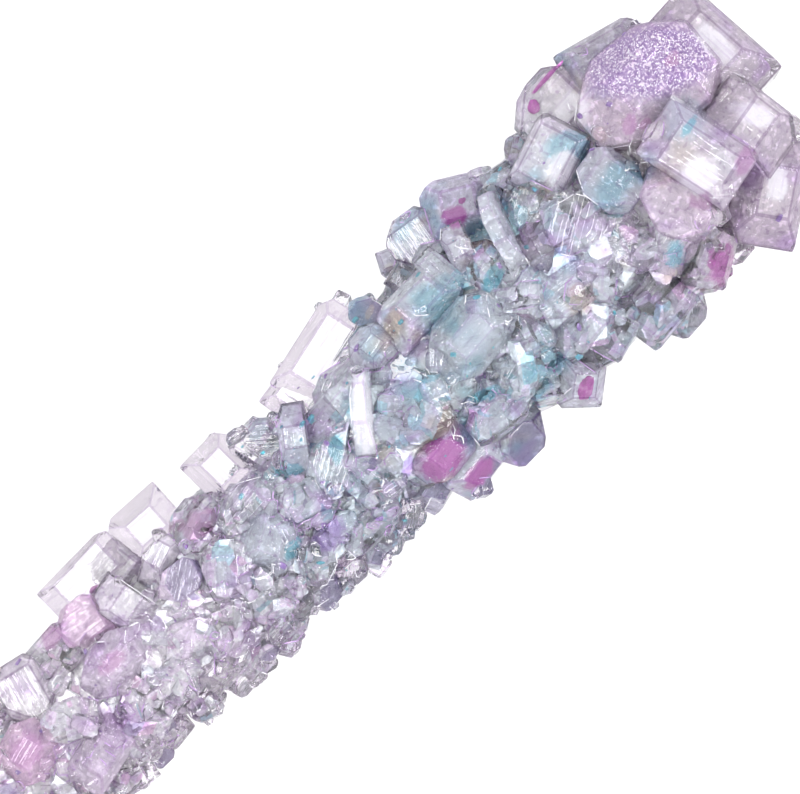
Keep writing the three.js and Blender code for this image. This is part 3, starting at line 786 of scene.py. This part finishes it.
def blueness(along):
    """How blue the candy is along the stick: wholly in the middle, and not at all towards both ends."""
    middle, reach = 50, 28
    return max(0.0, 1 - abs(along - middle) / reach)


def tints(colours, along, across, share):
    """The tints of a crystal's front, other facets and edges: bluer in the middle. The other facets and the
    edges are painted shade, darker the nearer they lie to the sides.
    """
    base = Vector(colours.lilac).lerp(Vector(colours.blue), blueness(along))
    face = base.lerp(Vector(colours.clear), share * 0.9)
    # Painted shade: the facets that slope away and the edges are tinted darker, the more so towards the
    # silhouette.
    outward = min(abs(across) / value_at(REACH, along), 1) ** 2
    side = face.lerp(Vector(colours.side), 0.1 + 0.7 * outward)
    edge = face.lerp(Vector(colours.seam), 0.6 + 0.3 * outward)
    return face, side, edge


def heart_tone(look, draw):
    """A milky heart has one tone. A cut one has facets from white to dark: by the way each faces, painted
    shade (dusk, dark) or painted highlight (white), the rest of random looks.
    """
    if look != "cut":
        tone = Vector(LOOKS[look]) * mix((0.9, 1), next(draw))
        return lambda polygon: tone

    def facet(polygon):
        # Painted shade and painted highlights: a facet's look follows which way it faces.
        if polygon.normal.y < -0.3:
            return LOOKS["dusk" if polygon.normal.x > -0.3 else "white"]
        if polygon.normal.z > 0.9:
            return LOOKS["dark"]
        return LOOKS[("white", "smooth", "mauve")[int(3 * next(draw))]]

    return facet


def shard_tone(along, draw, painted_light_share):
    """A tone for each facet of a shard: a share of white ones, painted light that lifts the shade of the
    deep shards, then more lilac ones at the ends and more blue-green in the middle.
    """

    def tone(polygon):
        luck = next(draw)
        if luck < painted_light_share:
            return LOOKS["bright"]
        luck = (luck - painted_light_share) / (1 - painted_light_share)
        for name, ends, middle in SHARD_TONES:
            part = mix((ends, middle), blueness(along))
            if luck < part:
                break
            luck -= part
        return LOOKS[name]

    return tone


# ---- Materials ----


class Shading:
    """The nodes of a material or of the world. What adds a node gives one of its outputs."""

    def __init__(self, owner):
        owner.use_nodes = True
        self.nodes, self.links = owner.node_tree.nodes, owner.node_tree.links

    def feed(self, socket, value):
        """Links an output to a socket, or sets the socket to a plain value."""
        if isinstance(value, bpy.types.NodeSocket):
            self.links.new(value, socket)
        else:
            socket.default_value = (*value, 1) if socket.type == "RGBA" else value

    def shade(self, shader, **values):
        """Feeds the shader that the material or the world comes with."""
        for name, value in values.items():
            self.feed(self.nodes[shader].inputs[name.replace("_", " ")], value)

    def add(self, kind, output, inputs, **values):
        made = self.nodes.new(kind)
        for name, value in values.items():
            setattr(made, name, value)
        for name, value in inputs.items():
            self.feed(made.inputs[name], value)
        return made.outputs[output]

    def place(self, kind="Object"):
        return self.add("ShaderNodeTexCoord", kind, {})

    def attribute(self, name, output):
        return self.add("ShaderNodeAttribute", output, {}, attribute_name=name)

    def part(self, vector, axis):
        return self.add("ShaderNodeSeparateXYZ", axis, {"Vector": vector})

    def mapped(self, vector, kind="POINT", **inputs):
        return self.add("ShaderNodeMapping", "Vector", {"Vector": vector, **inputs}, vector_type=kind)

    def noise(self, vector, scale, detail, roughness=0.5, distortion=0.0, seed=None):
        inputs = {"Vector": vector, "Scale": scale, "Detail": detail}
        inputs.update({"Roughness": roughness, "Distortion": distortion})
        if seed is None:
            return self.add("ShaderNodeTexNoise", "Fac", inputs)
        return self.add("ShaderNodeTexNoise", "Fac", {**inputs, "W": seed}, noise_dimensions="4D")

    def spread(self, value, low, high, least=0.0, most=1.0, kind="LINEAR"):
        """Stretches a value from one span to another."""
        inputs = {"Value": value, "From Min": low, "From Max": high, "To Min": least, "To Max": most}
        return self.add("ShaderNodeMapRange", "Result", inputs, interpolation_type=kind)

    def calculated(self, operation, a, b):
        return self.add("ShaderNodeMath", "Value", {0: a, 1: b}, operation=operation)

    def from_middle(self, vector, middle, turn, size):
        """How far a point is from the middle of an oval, 1 on the oval's edge."""
        rotation = (0, 0, math.radians(turn))
        own = self.mapped(vector, "TEXTURE", Location=middle, Rotation=rotation, Scale=size)
        return self.add("ShaderNodeVectorMath", "Value", {0: own}, operation="LENGTH")

    def ramp(self, value, stops):
        """Colours along a value. A stop is a position and a colour."""
        colours = self.add("ShaderNodeValToRGB", "Color", {"Fac": value})
        elements = colours.node.color_ramp.elements
        while len(elements) < len(stops):
            elements.new(0.5)
        for element, (position, colour) in zip(elements, stops):
            element.position = position
            element.color = (*colour, 1)
        return colours

    def mixed(self, blend, amount, under, over):
        inputs = {0: amount, 6: under, 7: over}
        values = {"data_type": "RGBA", "blend_type": blend, "clamp_result": True}
        return self.add("ShaderNodeMix", 2, inputs, **values)

    def bump(self, height, strength, distance, under=None):
        """Bumps from a height, over other bumps if there are some."""
        inputs = {"Height": height, "Strength": strength, "Distance": distance}
        if under is not None:
            inputs["Normal"] = under
        return self.add("ShaderNodeBump", "Normal", inputs)


def new_material(name):
    material = bpy.data.materials.new(name)
    return material, Shading(material)


def sugar_material():
    """Sugar crystal: clear, wavy, streaked along its length, tinted by its own attribute."""
    material, nodes = new_material("clear sugar")
    ripple = nodes.noise(nodes.place(), 420, 2, 0.7)
    streaks = nodes.noise(nodes.mapped(nodes.attribute("own", "Vector"), Scale=(0.14, 2, 2)), 1, 2)
    dark, clear, faint = (0.84, 0.79, 0.88), ((0.99, 0.99, 1), (0.99, 0.99, 0.99)), (0.90, 0.87, 0.93)
    lines = nodes.ramp(streaks, [(0.36, dark), (0.43, clear[0]), (0.6, clear[1]), (0.67, faint)])
    # The tint attribute carries painted shade on the facets that slope away and on the edges.
    nodes.shade(
        "Principled BSDF",
        IOR=1.54,
        Transmission_Weight=1,
        Roughness=0.02,
        Base_Color=nodes.mixed("MULTIPLY", 1, nodes.attribute("tint", "Color"), lines),
        Normal=nodes.bump(streaks, 0.42, 0.0004, nodes.bump(ripple, 0.2, 0.0006)),
    )
    return material


def milk_material(shape, colours):
    """The milky candy: lilac at both ends, blue-grey in the middle, with clouds, specks and stains; the
    white stains are painted highlights and the glittering crystal's white specks are painted glints.
    """
    material, nodes = new_material("milky candy")
    place = nodes.place()
    along = nodes.spread(nodes.part(place, "X"), *MILK_SPAN)
    zones = nodes.ramp(
        along,
        [
            (0.0, (0.80, 0.77, 0.78)),
            (0.3, (0.78, 0.78, 0.79)),
            (0.44, (0.60, 0.66, 0.69)),
            (0.76, (0.62, 0.67, 0.70)),
            (0.86, (0.68, 0.64, 0.66)),
            (0.96, (0.61, 0.57, 0.60)),
        ],
    )
    cloud = nodes.noise(place, 640, 3, 0.7, 0.6)
    black, full = (0, 0, 0), (1, 1, 1)
    depths = [(0.34, (0.76, 0.74, 0.80)), (0.45, (0.95, 0.94, 0.97)), (0.54, full), (0.64, (1.3, 1.3, 1.3))]
    tone = nodes.mixed("MULTIPLY", 1, zones, nodes.ramp(cloud, depths))
    middle = nodes.ramp(along, [(0.42, black), (0.54, full), (0.84, full), (0.92, black)])
    for colour, scale, seed, low, high, where in (
        (colours.teal, 190, 1.7, 0.54, 0.66, middle),
        (colours.thread, 240, 4.1, 0.55, 0.68, None),
        (colours.birch, 210, 8.3, 0.60, 0.72, middle),
    ):
        amount = nodes.spread(nodes.noise(place, scale, 1.5, seed=seed), low, high, most=0.6)
        if where is not None:
            amount = nodes.calculated("MULTIPLY", amount, where)
        tone = nodes.mixed("MIX", amount, tone, colour)
    dim, bright = (0.94, 0.94, 0.95), (0.96, 0.96, 0.96)
    grains = [(0.3, (0.7, 0.62, 0.74)), (0.38, dim), (0.6, bright), (0.7, (1.4, 1.4, 1.4))]
    tone = nodes.mixed("MULTIPLY", 1, tone, nodes.ramp(nodes.noise(place, 1500, 1), grains))
    lay = lying(shape)
    glitter = lay @ Vector((*GLITTER, STAIN_HEIGHT))
    far = nodes.from_middle(place, glitter, GLITTER_TURN, (7 * MM, 4 * MM, 12 * MM))
    # Painted glints: the violet speckle's white specks stand in for the sparkle of the sugar.
    violet_and_painted_glints = [(0.4, (0.34, 0.22, 0.50)), (0.56, (0.50, 0.39, 0.62)), (0.64, (1.0, 0.97, 1.0))]
    violet = nodes.ramp(nodes.noise(place, 3600, 1), violet_and_painted_glints)
    tone = nodes.mixed("MIX", nodes.spread(far, 1.05, 0.75), tone, violet)
    # The tint attribute carries the painted shade and highlights of cut hearts and the painted light of the
    # deep shards.
    tone = nodes.mixed("MULTIPLY", 1, tone, nodes.attribute("tint", "Color"))
    wobble = nodes.spread(cloud, 0.3, 0.7, -0.25, 0.25)
    for x, y, length, width, turn, name in STAINS:
        spot = lay @ Vector((x, y, STAIN_HEIGHT))
        far = nodes.from_middle(place, spot, turn, (length / 2 * MM, width / 2 * MM, 1))
        strength = STAIN_STRENGTHS.get(name, STAIN_STRENGTH)
        far = nodes.calculated("ADD", far, wobble)
        amount = nodes.spread(far, 1.2, 0.7, most=strength, kind="SMOOTHSTEP")
        tone = nodes.mixed("MIX", amount, tone, getattr(colours, name))
    nodes.shade("Principled BSDF", Roughness=0.4, Base_Color=tone, Normal=nodes.bump(cloud, 0.6, 0.0008))
    return material


def dye_material(name, colour, weight):
    """Grainy colouring. The weight says how much light sinks into it."""
    material, nodes = new_material(name)
    deep, pale = [0.8 * c for c in colour], [0.2 + 0.8 * c for c in colour]
    grain = nodes.noise(nodes.place(), 1500, 4)
    nodes.shade(
        "Principled BSDF",
        Roughness=0.3,
        Subsurface_Weight=weight,
        Subsurface_Radius=(1.0, 0.6, 1.0),
        Subsurface_Scale=0.8 * MM,
        Base_Color=nodes.ramp(grain, [(0.34, deep), (0.5, colour), (0.7, pale)]),
    )
    return material


def birch_material(colour, slope):
    """Pale wood with its grain along the sloping stick."""
    material, nodes = new_material("birch")
    along = nodes.mapped(nodes.place(), Rotation=(0, slope, 0), Scale=(18, 420, 420))
    grain = nodes.noise(along, 1.6, 6, 0.6)
    deep, pale = [0.62 * c for c in colour], [1.18 * c for c in colour]
    tone = nodes.ramp(grain, [(0.3, deep), (0.5, colour), (0.7, pale)])
    nodes.shade("Principled BSDF", Roughness=0.62, Base_Color=tone, Normal=nodes.bump(grain, 0.35, 0.0001))
    return material


# ---- Operators ----


def either_way(most, draw):
    """A number between a value and its negative."""
    return most * (2 * next(draw) - 1)


def block(draw, length, widths, depths):
    """A block's length, width and depth. The last two are drawn as shares of the length."""
    return length, length * mix(widths, next(draw)), length * mix(depths, next(draw))


class Step:
    """A step of modelling: an operator that makes pieces from the settings, in the candy's own frame."""

    def execute(self, context):
        scene = context.scene
        self.model(scene.candy_shape, scene.candy_colours, lying(scene.candy_shape))
        return {"FINISHED"}


class CANDY_OT_crystals(Step, bpy.types.Operator):
    """Grow the crystals on the stick, fused as one piece of sugar"""

    bl_idname = "candy.crystals"
    bl_label = "Crystals"

    def model(self, shape, colours, lay):
        pattern, framed = patterns(shape.edge), patterns(shape.frame)
        clearness = draws(77)
        laid = []
        for crystal in UPPER:
            place = upper_placement(crystal, shape.overlap)
            if crystal.look in THIN_EDGED:
                # Painted shade: clear crystals get darker sides and dark edges, the clear slabs the darkest
                # sides.
                side = colours.slab_side_shade if crystal.look == "clear" else colours.clear_side_shade
                laid.append((framed[crystal.habit], place, plain(colours.clear, side, colours.clear_edge_shade)))
            else:
                tone = plain(*tints(colours, crystal.along, crystal.across, next(clearness)))
                laid.append((pattern[crystal.habit], place, tone))
        draw = draws(ROUND["seed"])
        names, tip = list(HABITS), ROUND["tip"]
        for i in range(ROUND["count"]):
            along = mix(ROUND["span"], (i + 0.5) / ROUND["count"])
            roll = (i * GOLDEN_ANGLE + 180) % 360 - 180
            filler = abs(roll) < ROUND["upper_half_angle"] and along > ROUND["upper_from"]
            reach = value_at(REACH, along)
            length = reach * mix(ROUND["filler_size" if filler else "size"], next(draw))
            size = block(draw, length, ROUND["width"], ROUND["depth"])
            habit = names[int(next(draw) * len(names))]
            turn, lean, nod = 360 * next(draw), either_way(tip, draw), either_way(tip, draw)
            centre = round_the_stick(reach - size[2] * (0.9 if filler else 0.5), along, roll)
            place = placement(size, centre, turn, lean, nod, roll)
            laid.append((pattern[habit], place, plain(*tints(colours, along, centre[1], next(clearness)))))
        heart = turned(CORE, CORE_SIDES, "heart")
        set_tint(heart.data, plain(*tints(colours, 50, 0, 1)))
        heart.data.transform(lay)
        piece = fused(heart, copies(laid, lay))
        piece.name = "sugar_crystals"
        made_of(piece, sugar_material())
        discard([*pattern.values(), *framed.values()])


class CANDY_OT_small(Step, bpy.types.Operator):
    """Grow the small crystals in the gaps between the others, and flatten the underside"""

    bl_idname = "candy.small"
    bl_label = "Small crystals"

    def model(self, shape, colours, lay):
        piece = bpy.data.objects["sugar_crystals"]
        pattern = patterns(shape.edge * 1.3, 1)
        draw = draws(501)
        names = list(HABITS)
        laid = []
        for i in range(shape.tries):
            along = mix((-14, 91), (i + 0.5) / shape.tries) + either_way(1, draw)
            roll = (i * GOLDEN_ANGLE) % 360 + either_way(10, draw)
            size = block(draw, mix((1.1, 2.9), next(draw) ** 2), (0.5, 0.9), (0.6, 1.0))
            habit = names[int(next(draw) * len(names))]
            turn, lean, nod = 360 * next(draw), either_way(35, draw), either_way(35, draw)
            luck, found = next(draw), met_from_outside(piece, lay, along, roll)
            if not found:
                continue
            radius = distance(found)
            in_gap = value_at(REACH, along) - radius >= 0.8
            fine_grained = along < 42 and -100 < (roll + 180) % 360 - 180 < -5
            if not in_gap and luck > (0.75 if fine_grained else 0.12):
                continue
            centre = round_the_stick(radius - 0.12 * size[0], along, roll)
            place = placement(size, centre, turn, lean, nod, roll)
            laid.append((pattern[habit], place, plain(*tints(colours, along, centre[1], next(draw)))))
        trimmed(fused(piece, copies(laid, lay)))
        made_of(piece, bpy.data.materials["clear sugar"])
        dress(piece, "crystals")
        discard(pattern.values())


class CANDY_OT_milk(Step, bpy.types.Operator):
    """Fill the clear sugar with milky candy: a core, shards over it and the hearts of milky crystals"""

    bl_idname = "candy.milk"
    bl_label = "Milky candy"

    def model(self, shape, colours, lay):
        sugar = bpy.data.objects["sugar_crystals"]
        core = turned(MILK, MILK_SIDES, "milky_candy")
        set_tint(core.data, plain(*[LOOKS["bright"]] * 3))
        core.data.transform(lay)
        worn, sharp = patterns(0.03), patterns(0)
        names = list(HABITS)
        draw = draws(45)
        laid = []
        sink = Matrix.Translation((0, 0, -shape.rind / MM))
        for crystal in UPPER:
            if crystal.look not in HEARTLESS:
                share = mix(shape.bright_heart if crystal.look == "bright" else shape.heart, next(draw))
                place = sink @ upper_placement(crystal, shape.overlap) @ Matrix.Scale(share, 4)
                laid.append((worn[crystal.habit], place, heart_tone(crystal.look, draw)))
        for layer, count in (("deep", shape.deep_shards), ("near", shape.near_shards)):
            for i in range(count):
                along = mix((-14, 90), (i + 0.5) / count)
                roll = 108 * (2 * (i * GOLDEN_SHARE % 1) - 1) + (180 if i % 5 == 0 else 0)
                length = mix((1.5, 4.6), next(draw) ** 1.5) * (1.3 if 40 < along < 80 else 1)
                size = block(draw, length, (0.4, 0.9), (0.3, 0.5))
                turn, lean, nod = 360 * next(draw), either_way(17, draw), either_way(17, draw)
                radius = value_at(MILK, along)
                if layer == "near":
                    found = met_from_outside(sugar, lay, along, roll)
                    if not found:
                        continue
                    radius = distance(found) - mix((0.3, 1.2), next(draw) ** 1.5) - size[2] / 2
                centre = round_the_stick(radius, along, roll)
                if centre[2] > -4 and kept_free(along, centre[1]):
                    continue
                # Painted light: the deep shards get white facets that lift the shade they lie in.
                tone = shard_tone(along, draw, shape.deep_painted_light if layer == "deep" else 0)
                for shrink in (1, 0.75, 0.55, 0.4):
                    place = placement([side * shrink for side in size], centre, turn, lean, nod, roll)
                    if buried(sugar, lay, place, 0.15):
                        laid.append((sharp[names[i % len(names)]], place, tone))
                        break
        piece = trimmed(fused(core, copies(laid, lay)))
        made_of(piece, milk_material(shape, colours))
        dress(piece, "crystals")
        discard([*worn.values(), *sharp.values()])


class CANDY_OT_seams(Step, bpy.types.Operator):
    """Run threads of colouring along some grooves, and white threads along some ridges: partly frosted
    ridges, partly painted glints
    """

    bl_idname = "candy.seams"
    bl_label = "Threads"

    def model(self, shape, colours, lay):
        sugar = bpy.data.objects["sugar_crystals"]
        back = lay.inverted()
        for colour, kind, way, least, thickness, tone in (
            ("lilac", "groove", 1, 0.12, shape.thread, colours.thread),
            # Painted glints: the white threads on the ridges stand in for highlights along the edges,
            # partly frosted edges.
            ("white", "ridge", -1, 0.05, shape.thread / 2, colours.frost_and_painted_glint),
        ):

            def taken(place):
                place = back @ place
                patch, break_up = noise.noise(place / 5.5) * way, noise.noise(place * 2)
                return place.z > 0 and patch > least and break_up > -0.1

            strands = creases(sugar, math.radians(30), taken, kind)
            draw = draws(39)
            for spline in strands.data.splines:
                for point in spline.points:
                    point.radius = mix((0.4, 1.3), next(draw))
            strands.data.bevel_depth = thickness
            strands.data.bevel_resolution = 0
            strands.data.use_fill_caps = True
            bpy.ops.object.convert(target="MESH")
            piece = bpy.context.object
            piece.name = f"{colour}_threads"
            made_of(piece, dye_material(f"{colour} threads", tone, 0.0))
            dress(piece, "crystals")


class CANDY_OT_dye(Step, bpy.types.Operator):
    """Put the spots of colouring under the crystals' faces"""

    bl_idname = "candy.dye"
    bl_label = "Spots of colouring"

    def model(self, shape, colours, lay):
        sugar = bpy.data.objects["sugar_crystals"]
        deselect()
        bpy.ops.mesh.primitive_ico_sphere_add(subdivisions=4, radius=0.5)
        blob = bpy.context.object
        bpy.ops.object.mode_set(mode="EDIT")
        bpy.ops.transform.resize(value=(1, 1, 0.6))
        bpy.ops.object.mode_set(mode="OBJECT")
        rough = blob.modifiers.new("uneven", "DISPLACE")
        rough.texture = bpy.data.textures.new("uneven", "CLOUDS")
        rough.texture.noise_scale = 0.35
        rough.strength = 0.16
        apply_modifiers(blob)
        thickness, cover = 0.9, 0.12
        for colour, weight in (("magenta", 0.6), ("pink", 0.9)):
            laid = []
            for along, across, length, width, turn, kind in DYE_SPOTS:
                if kind == colour:
                    place = under_face(sugar, lay, along, across, (length, width, thickness), turn, cover)
                    laid.append((blob, place, white))
            material = dye_material(f"{colour} colouring", getattr(colours, colour), weight)
            dress(joined(copies(laid, lay), f"{colour}_colouring", material), "crystals")
        discard([blob])


class CANDY_OT_flecks(Step, bpy.types.Operator):
    """Scatter flecks of blue-green and violet colouring just under the surface"""

    bl_idname = "candy.flecks"
    bl_label = "Flecks"

    def model(self, shape, colours, lay):
        sugar = bpy.data.objects["sugar_crystals"]
        pattern = patterns(0.1, 1)
        names = list(HABITS)
        for kind, count, span, lengths, seed in (
            ("teal", shape.teal_flecks, (27, 71), (0.2, 0.9), 301),
            ("violet", shape.violet_flecks, (-12, 90), (0.2, 0.8), 302),
        ):
            draw = draws(seed)
            laid = []
            for i in range(count):
                along, roll = mix(span, (i + 0.5) / count), either_way(74, draw)
                size = block(draw, mix(lengths, next(draw) ** 2), (0.3, 0.8), (0.2, 0.5))
                radius = distance(met_from_outside(sugar, lay, along, roll)) - mix((0.2, 0.5), next(draw))
                centre = round_the_stick(radius, along, roll)
                turn, lean = 360 * next(draw), 30 * next(draw)
                place = placement(size, centre, turn, lean, 0, roll)
                laid.append((pattern[names[i % len(names)]], place, white))
            material = dye_material(f"{kind} flecks", getattr(colours, kind), 0.7)
            dress(joined(copies(laid, lay), f"{kind}_flecks", material), "crystals")
        discard(pattern.values())


class CANDY_OT_dust(Step, bpy.types.Operator):
    """Scatter white grains, partly sugar dust and partly painted glints, thickest on the glittering crystal
    of the head
    """

    bl_idname = "candy.dust"
    bl_label = "Sugar dust"

    def model(self, shape, colours, lay):
        sugar = bpy.data.objects["sugar_crystals"]
        deselect()
        bpy.ops.mesh.primitive_ico_sphere_add(subdivisions=1, radius=0.5)
        grain = bpy.context.object
        draw = draws(88)
        laid = []

        def lay_grain(along, across, size):
            found = met_from_above(sugar, lay, along, across)
            if found:
                place = Matrix.Translation(found[0]) @ Matrix.Rotation(6.28 * next(draw), 4, (1, 1, 0))
                laid.append((grain, place @ Matrix.Diagonal((size, size, size * 0.5, 1)), white))

        for _ in range(shape.dust):
            along = mix((-15, 94), next(draw))
            across = value_at(REACH, along) * 0.94 * (2 * next(draw) - 1)
            lay_grain(along, across, mix((0.05, 0.17), next(draw) ** 2))
        slant = math.radians(GLITTER_TURN)
        for _ in range(shape.glitter):
            angle, far = 6.283 * next(draw), math.sqrt(next(draw))
            long, short = 6.2 * far * math.cos(angle), 3.1 * far * math.sin(angle)
            along = GLITTER[0] + long * math.cos(slant) - short * math.sin(slant)
            across = GLITTER[1] + long * math.sin(slant) + short * math.cos(slant)
            lay_grain(along, across, mix((0.05, 0.15), next(draw)))
        # The grains are white: partly sugar dust, partly painted glints that stand in for sparkle.
        material = dye_material("sugar dust", colours.powder_and_painted_glint, 0.0)
        dress(joined(copies(laid, lay), "sugar_dust_and_painted_glints", material), "crystals")
        discard([grain])


class CANDY_OT_stick(Step, bpy.types.Operator):
    """Model the wooden stick"""

    bl_idname = "candy.stick"
    bl_label = "Wooden stick"

    def model(self, shape, colours, lay):
        deselect()
        bpy.ops.mesh.primitive_cylinder_add(
            vertices=48, radius=shape.stick_radius / MM, depth=STICK_LENGTH, end_fill_type="NGON"
        )
        piece = bpy.context.object
        piece.name = "wooden_stick"
        ends = piece.modifiers.new("softened ends", "BEVEL")
        ends.width = 0.5
        ends.segments = 3
        ends.limit_method = "ANGLE"
        ends.angle_limit = math.radians(60)
        apply_modifiers(piece)
        only(piece)
        bpy.ops.object.shade_smooth_by_angle(angle=math.radians(35))
        along = Matrix.Translation((STICK_MIDDLE, 0, 0)) @ Matrix.Rotation(math.pi / 2, 4, "Y")
        piece.data.transform(lay @ along)
        made_of(piece, birch_material(colours.birch, shape.slope))
        dress(piece, "stick")


class CANDY_OT_stage(bpy.types.Operator):
    """Set the pale floor, the soft lights and the camera"""

    bl_idname = "candy.stage"
    bl_label = "Stage"

    def execute(self, context):
        scene, stage = context.scene, context.scene.candy_stage
        deselect()
        bpy.ops.mesh.primitive_plane_add(size=stage.floor, location=(0, 0, -0.02 * MM))
        floor = context.object
        floor.name = "floor"
        material, nodes = new_material("pale floor")
        glow = {"Emission_Color": (1, 1, 1), "Emission_Strength": 0.7}
        nodes.shade("Principled BSDF", Base_Color=(0.3, 0.3, 0.3), Roughness=0.9, **glow)
        floor.data.materials.append(material)
        floor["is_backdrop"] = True
        target = Vector((0.03, 0, 0.01))
        for name, place, size, power in (
            ("key light", (-0.25, 0.3, 0.5), 0.2, stage.key),
            ("overhead light", (0.12, -0.05, 0.55), 0.11, stage.overhead),
            ("fill light", (0.35, -0.3, 0.35), 0.2, stage.fill),
        ):
            bpy.ops.object.light_add(type="AREA", location=place)
            light = context.object
            light.name = name
            light.data.size = size
            light.data.energy = power
            light.rotation_euler = (target - Vector(place)).to_track_quat("-Z", "Y").to_euler()
        world = bpy.data.worlds.new("studio")
        nodes = Shading(world)
        walls = [(0, (0.72, 0.72, 0.72)), (0.35, (0.72, 0.72, 0.73)), (0.8, (1, 1, 1))]
        height = nodes.part(nodes.place("Generated"), "Z")
        nodes.shade("Background", Color=nodes.ramp(height, walls), Strength=stage.sky)
        scene.world = world
        right = Vector((math.cos(stage.roll), -math.sin(stage.roll), 0))
        up = Vector((math.sin(stage.roll), math.cos(stage.roll), 0))
        above = Matrix((right, up, Vector((0, 0, 1)))).transposed().to_4x4()
        above.translation = Vector((*VIEW_CENTRE, VIEW_HEIGHT + stage.camera_distance))
        bpy.ops.object.camera_add()
        camera = context.object
        camera.matrix_world = above
        camera.data.sensor_width = 36
        camera.data.lens = camera.data.sensor_width * stage.camera_distance / stage.view_width
        scene.camera = camera
        scene.view_settings.view_transform = "Standard"
        scene.cycles.max_bounces = 10
        scene.cycles.transmission_bounces = 10
        scene.cycles.diffuse_bounces = 2
        return {"FINISHED"}


class CANDY_PT_panel(bpy.types.Panel):
    """Lists the steps of making the candy"""

    bl_idname = "CANDY_PT_panel"
    bl_label = "Rock Candy Stick"
    bl_space_type = "VIEW_3D"
    bl_region_type = "UI"
    bl_category = "Candy"

    def draw(self, context):
        for operator in OPERATORS:
            self.layout.operator(operator.bl_idname)
        for group in (context.scene.candy_shape, context.scene.candy_colours, context.scene.candy_stage):
            box = self.layout.box()
            for name in group.__annotations__:
                box.prop(group, name)


OPERATORS = (
    CANDY_OT_crystals,
    CANDY_OT_small,
    CANDY_OT_milk,
    CANDY_OT_seams,
    CANDY_OT_dye,
    CANDY_OT_flecks,
    CANDY_OT_dust,
    CANDY_OT_stick,
    CANDY_OT_stage,
)
CLASSES = (CandyShape, CandyColours, CandyStage, *OPERATORS, CANDY_PT_panel)


def register():
    for cls in CLASSES:
        bpy.utils.register_class(cls)
    bpy.types.Scene.candy_shape = PointerProperty(type=CandyShape)
    bpy.types.Scene.candy_colours = PointerProperty(type=CandyColours)
    bpy.types.Scene.candy_stage = PointerProperty(type=CandyStage)


def unregister():
    for name in ("candy_shape", "candy_colours", "candy_stage"):
        delattr(bpy.types.Scene, name)
    for cls in reversed(CLASSES):
        bpy.utils.unregister_class(cls)


def main():
    register()
    for step in ("crystals", "small", "milk", "seams", "dye", "flecks", "dust", "stick", "stage"):
        getattr(bpy.ops.candy, step)()
    boxes = {"cad": CAD_BOX, "visual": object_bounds()}
    {name: [list(corner) for corner in box] for name, box in boxes.items()}


if __name__ == "__main__":
    main()
